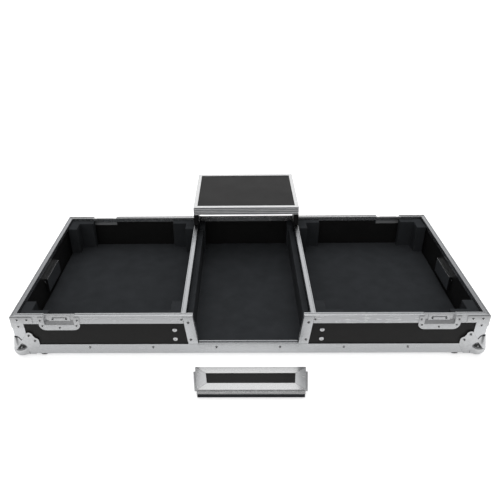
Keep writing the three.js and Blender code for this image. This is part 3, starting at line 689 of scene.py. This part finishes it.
def on_face(side, across, up, proud):
    """A place on an outer face of the case, in mm from its left end and foot, as seen from outside."""
    along, rise, out = across * MM, case_foot + up * MM, proud * MM
    if side == "front":
        return Vector((case_left + along, case_front - out, rise)), Vector((0, -1, 0))
    if side == "rear":
        return Vector((case_right - along, case_rear + out, rise)), Vector((0, 1, 0))
    if side == "left":
        return Vector((case_left - out, case_rear - along, rise)), Vector((-1, 0, 0))
    return Vector((case_right + out, case_front + along, rise)), Vector((1, 0, 0))


SINK = 0.2
case_length = (case_right - case_left) / MM
case_depth = (case_rear - case_front) / MM
SIDES = {"front": case_length, "rear": case_length, "left": case_depth, "right": case_depth}
RIVET_RADIUS = 4
RIVET_HEIGHT = 1.7
RIVET_HOLE = 1.9
RIVET_HOLE_TAPER = 0.3
RIVET = [
    (0, 0),
    (RIVET_HOLE - RIVET_HOLE_TAPER, 0),
    *dome(RIVET_RADIUS, RIVET_HEIGHT, RIVET_HOLE),
    (RIVET_RADIUS, -SINK),
    (0, -SINK),
]
LOW_HEAD_SHARE = 0.3
LOW_RIVET = [(radius, height * LOW_HEAD_SHARE) for radius, height in RIVET]
BRACE_OUT = 1.5
BRACE_RIVETS = ((16, 108.7), (40, 108.7), (15.8, 88))
BOTTOM_RIVET_PITCH = 161.5
BOTTOM_RIVET_UP = 19.5


def at_both_ends(side, places, proud):
    """The same places measured from each end of a face."""
    both = [(x, up) for across, up in places for x in (across, SIDES[side] - across)]
    return [on_face(side, x, up, proud) for x, up in both]


for side, length in SIDES.items():
    count = int((length / 2 - 2 * LEG_WIDTH) / BOTTOM_RIVET_PITCH + 0.5)
    row = [length / 2 + BOTTOM_RIVET_PITCH * (i + 0.5) * hand for i in range(count) for hand in (-1, 1)]
    heads = [on_face(side, across, BOTTOM_RIVET_UP, 0) for across in row]
    heads += at_both_ends(side, (UPPER_LOBE, OUTER_LOBE), -SHEET_FACE)
    fasteners(f"{side}_rivets", RIVET, heads)
    fasteners(f"{side}_brace_rivets", LOW_RIVET, at_both_ends(side, BRACE_RIVETS, BRACE_OUT))

middle = case_length / 2
TRIM_RIVETS = ((149.3, 98.1), (145, 43.7))
RIM_RIVETS = ((165.4, 107.1),)
for name, profile, places in (
    ("opening_trim_rivets", RIVET, TRIM_RIVETS),
    ("opening_rim_rivets", LOW_RIVET, RIM_RIVETS),
):
    heads = [on_face("front", middle + hand * x, up, 0) for x, up in places for hand in (-1, 1)]
    fasteners(name, profile, heads)

SCREW_RADIUS = 6
SCREW_EDGE = 0.2
SCREW = [
    (0, 1.0),
    (1.2, 1.0),
    (1.4, 1.6),
    (4.6, 1.45),
    (SCREW_RADIUS - SCREW_EDGE, 1.15),
    (SCREW_RADIUS, 0.7),
    (SCREW_RADIUS, -SINK),
    (0, -SINK),
]
BOARD_OUT = -1.8
PARTITION_SCREWS = ((184, 75), (184, 45.8))
for side in ("front", "rear"):
    places = [(middle + hand * x, up) for x, up in PARTITION_SCREWS for hand in (-1, 1)]
    heads = [on_face(side, x, up, BOARD_OUT) for x, up in places]
    fasteners(f"{side}_partition_screws", SCREW, heads)


# Upper braces, latch keepers and handle dishes are cut, folded and pressed from the same plated steel.
# The keepers are let into the rim, and their hook plates have two small screws each.
milky_zinc = zinc_plated_steel("passivated_zinc_plate", milky=0.35)
for corner in CORNERS:
    eased(f"{corner}_corner_brace", "case", "steel", zinc_plate, PRESSED_EASE)
    eased(f"{corner}_latch_keeper", "case", "steel", milky_zinc, PRESSED_EASE)
KEEPER_RIVETS = ((-46, 108), (46, 108), (-42.6, 91.2), (42.6, 91.2), (0, 85.2))
HOOK_SCREWS = ((-17, 106.5), (17, 106.5))
KEEPER_OUT = 1.8
HOOK_PLATE_OUT = -6
SMALL_HEAD_SHARE = 0.75
SMALL_RIVET = [(radius * SMALL_HEAD_SHARE, height) for radius, height in RIVET]
for corner in CORNERS:
    keeper_low, keeper_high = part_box(f"{corner}_latch_keeper")
    side = corner.split("_")[0]
    keeper_middle = (keeper_low[0] + keeper_high[0]) / 2
    from_end = (keeper_middle - case_left if side == "front" else case_right - keeper_middle) / MM
    keeper_heads = [on_face(side, from_end + x, up, KEEPER_OUT) for x, up in KEEPER_RIVETS]
    keeper_heads += [on_face(side, from_end + x, up, HOOK_PLATE_OUT) for x, up in HOOK_SCREWS]
    fasteners(f"{corner}_keeper_rivets", SMALL_RIVET, keeper_heads)

DISH_RIVET_INSET = 0.006
for hand, outward in (("left", Vector((-1, 0, 0))), ("right", Vector((1, 0, 0)))):
    eased(f"{hand}_handle_dish", "case", "steel", zinc_plate, PRESSED_EASE)
    eased(f"{hand}_handle_bail", f"{hand}_handle", "steel", zinc_plate, PRESSED_EASE)
    dish_low, dish_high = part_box(f"{hand}_handle_dish")
    face = dish_low[0] if hand == "left" else dish_high[0]
    dish_heads = [
        (Vector((face, y, z)), outward)
        for y in (dish_low[1] + DISH_RIVET_INSET, dish_high[1] - DISH_RIVET_INSET)
        for z in (dish_low[2] + DISH_RIVET_INSET, dish_high[2] - DISH_RIVET_INSET)
    ]
    fasteners(f"{hand}_handle_rivets", SMALL_RIVET, dish_heads)


# Four low round feet of moulded black rubber stand under the base, near its corners. They carry the
# case and keep its lower extrusions off the floor.
def moulded_rubber():
    """Moulded rubber: dead matt and near black, with a fine grain."""
    material, tree, where = blank_finish("moulded_rubber")
    # The real grain is finer, and is drawn as coarse as it needs to show.
    grain_mm = 1.2
    grain_deep_mm = 0.1
    grains = add(tree, "ShaderNodeTexNoise", {"Vector": where, "Scale": 1000 / grain_mm, "Detail": 4.0})
    grain = grains.outputs[0]
    ends = {0: grain, 6: linear("#141414"), 7: linear("#1f1f20")}
    colour = add(tree, "ShaderNodeMix", ends, data_type="RGBA").outputs[2]
    bump = add(
        tree,
        "ShaderNodeBump",
        {"Height": grain, "Distance": grain_deep_mm / 1000, "Strength": 0.5},
    )
    looks = {"Base Color": colour, "Roughness": 0.8, "Normal": bump.outputs[0]}
    shader = add(tree, "ShaderNodeBsdfPrincipled", looks)
    add(tree, "ShaderNodeOutputMaterial", {"Surface": shader.outputs[0]})
    return material


FOOT_EASE = 0.0006
rubber = moulded_rubber()
for corner in CORNERS:
    eased(f"{corner}_foot", "case", "rubber", rubber, FOOT_EASE)


# The bays are lined with charcoal polyethylene foam, a sheet on each floor and blocks along the walls,
# die-cut to hold what stands in the bay and glued in.
def polyethylene_foam():
    """Closed-cell polyethylene foam: matt charcoal, with a skin of small burst cells."""
    material, tree, where = blank_finish("polyethylene_foam")
    # Real cells are under a millimetre, and are drawn as coarse as they need to show.
    cell_mm = 1.8
    cell_deep_mm = 0.4
    tone_mm = 40
    cells = add(tree, "ShaderNodeTexVoronoi", {"Vector": where, "Scale": 1000 / cell_mm})
    tones = add(tree, "ShaderNodeTexNoise", {"Vector": where, "Scale": 1000 / tone_mm, "Detail": 6.0})
    ends = {0: tones.outputs[0], 6: linear("#27292b"), 7: linear("#35373a")}
    colour = add(tree, "ShaderNodeMix", ends, data_type="RGBA")
    bump = add(
        tree,
        "ShaderNodeBump",
        {"Height": cells.outputs["Distance"], "Distance": cell_deep_mm / 1000, "Strength": 0.6},
    )
    shader = add(
        tree,
        "ShaderNodeBsdfPrincipled",
        {
            "Base Color": colour.outputs[2],
            "Roughness": 0.95,
            "Specular IOR Level": 0.15,
            "Normal": bump.outputs[0],
        },
    )
    add(tree, "ShaderNodeOutputMaterial", {"Surface": shader.outputs[0]})
    return material


FOAM_EASE = 0.002
FOAM_STEPS = 4
foam = polyethylene_foam()
for bay in ("left_bay_foam", "right_bay_foam", "middle_bay_foam"):
    eased(bay, "case", "foam", foam, FOAM_EASE, FOAM_STEPS)


# The gliding platform: a laminated deck in a ribbed aluminium frame, on two laminated legs, with a
# black bracket inside each leg that runs in the partition's groove.
for board in ("platform_deck", "left_platform_leg", "right_platform_leg"):
    eased(board, "platform", "laminate", laminate, BOARD_EASE)
RIB_EASE = 0.0002
# The frame's colour is greyed in each groove as painted shade, where shade falls in it.
FIRST_GROOVE_UP = 0.0037
GROOVE_PITCH = 0.0062
GROOVE_HEIGHT = 0.0034
GROOVE_SHADE = "#808286"
frame_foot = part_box("platform_edge")[0][2]
# The frame is painted near white, as painted light on its ribbed face.
ribbed = anodised_aluminium(
    "painted_light_ribbed_aluminium",
    ALONG_X,
    "#e4e5e6",
    "#eeeeee",
    milky=0.85,
    grooves={
        "lowest": frame_foot + FIRST_GROOVE_UP,
        "pitch": GROOVE_PITCH,
        "height": GROOVE_HEIGHT,
        "painted_shade": GROOVE_SHADE,
    },
)
eased("platform_edge", "platform", "aluminium", ribbed, RIB_EASE)


def powder_coated_steel():
    """Powder-coated steel: satin black with a slight orange peel."""
    material, tree, where = blank_finish("powder_coated_steel")
    peel_mm = 1.4
    peel_deep_mm = 0.1
    peels = add(tree, "ShaderNodeTexNoise", {"Vector": where, "Scale": 1000 / peel_mm, "Detail": 2.0})
    peel = peels.outputs[0]
    ends = {0: peel, 6: linear("#151516"), 7: linear("#1d1d1f")}
    colour = add(tree, "ShaderNodeMix", ends, data_type="RGBA").outputs[2]
    bump = add(
        tree,
        "ShaderNodeBump",
        {"Height": peel, "Distance": peel_deep_mm / 1000, "Strength": 0.4},
    )
    looks = {"Base Color": colour, "Roughness": 0.42, "Normal": bump.outputs[0]}
    shader = add(tree, "ShaderNodeBsdfPrincipled", looks)
    add(tree, "ShaderNodeOutputMaterial", {"Surface": shader.outputs[0]})
    return material


BRACKET_SCREW_INSET = 0.01
BRACKET_SCREW_DOWN = 0.026
black_coat = powder_coated_steel()
for hand in ("left", "right"):
    eased(f"{hand}_glide_bracket", "platform", "black_paint", black_coat, PRESSED_EASE)
    bracket_low, bracket_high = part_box(f"{hand}_glide_bracket")
    inner_face, inward = (bracket_high[0], 1) if hand == "left" else (bracket_low[0], -1)
    rows = (bracket_low[1] + BRACKET_SCREW_INSET, bracket_high[1] - BRACKET_SCREW_INSET)
    screw_height = bracket_high[2] - BRACKET_SCREW_DOWN
    heads = [(Vector((inner_face, y, screw_height)), Vector((inward, 0, 0))) for y in rows]
    fasteners(f"{hand}_bracket_screws", SMALL_RIVET, heads, body="platform")


# The front panel is a laminated board in a mitred aluminium frame, with foam glued to its back. It
# lifts out of the opening and lies on the floor in front of the case.
bright_along_y = anodised_aluminium(
    "bright_aluminium_along_y",
    ALONG_Y,
    "#c6c7c9",
    "#d2d3d4",
    smear=0.3,
    milky=0.45,
)
# The top and bottom pieces are painted paler than the sides, as painted light for the light that they
# catch.
PANEL_EDGES = (
    ("bottom", lit_along_x),
    ("top", lit_along_x),
    ("left", bright_along_y),
    ("right", bright_along_y),
)
for edge, finish in PANEL_EDGES:
    eased(f"panel_{edge}_extrusion", "front_panel", "aluminium", finish, EXTRUSION_EASE)
eased("panel_board", "front_panel", "laminate", laminate, BOARD_EASE)
PANEL_FOAM_EASE = 0.001
panel_foam = eased("panel_foam_lining", "front_panel", "foam", foam, PANEL_FOAM_EASE, FOAM_STEPS)
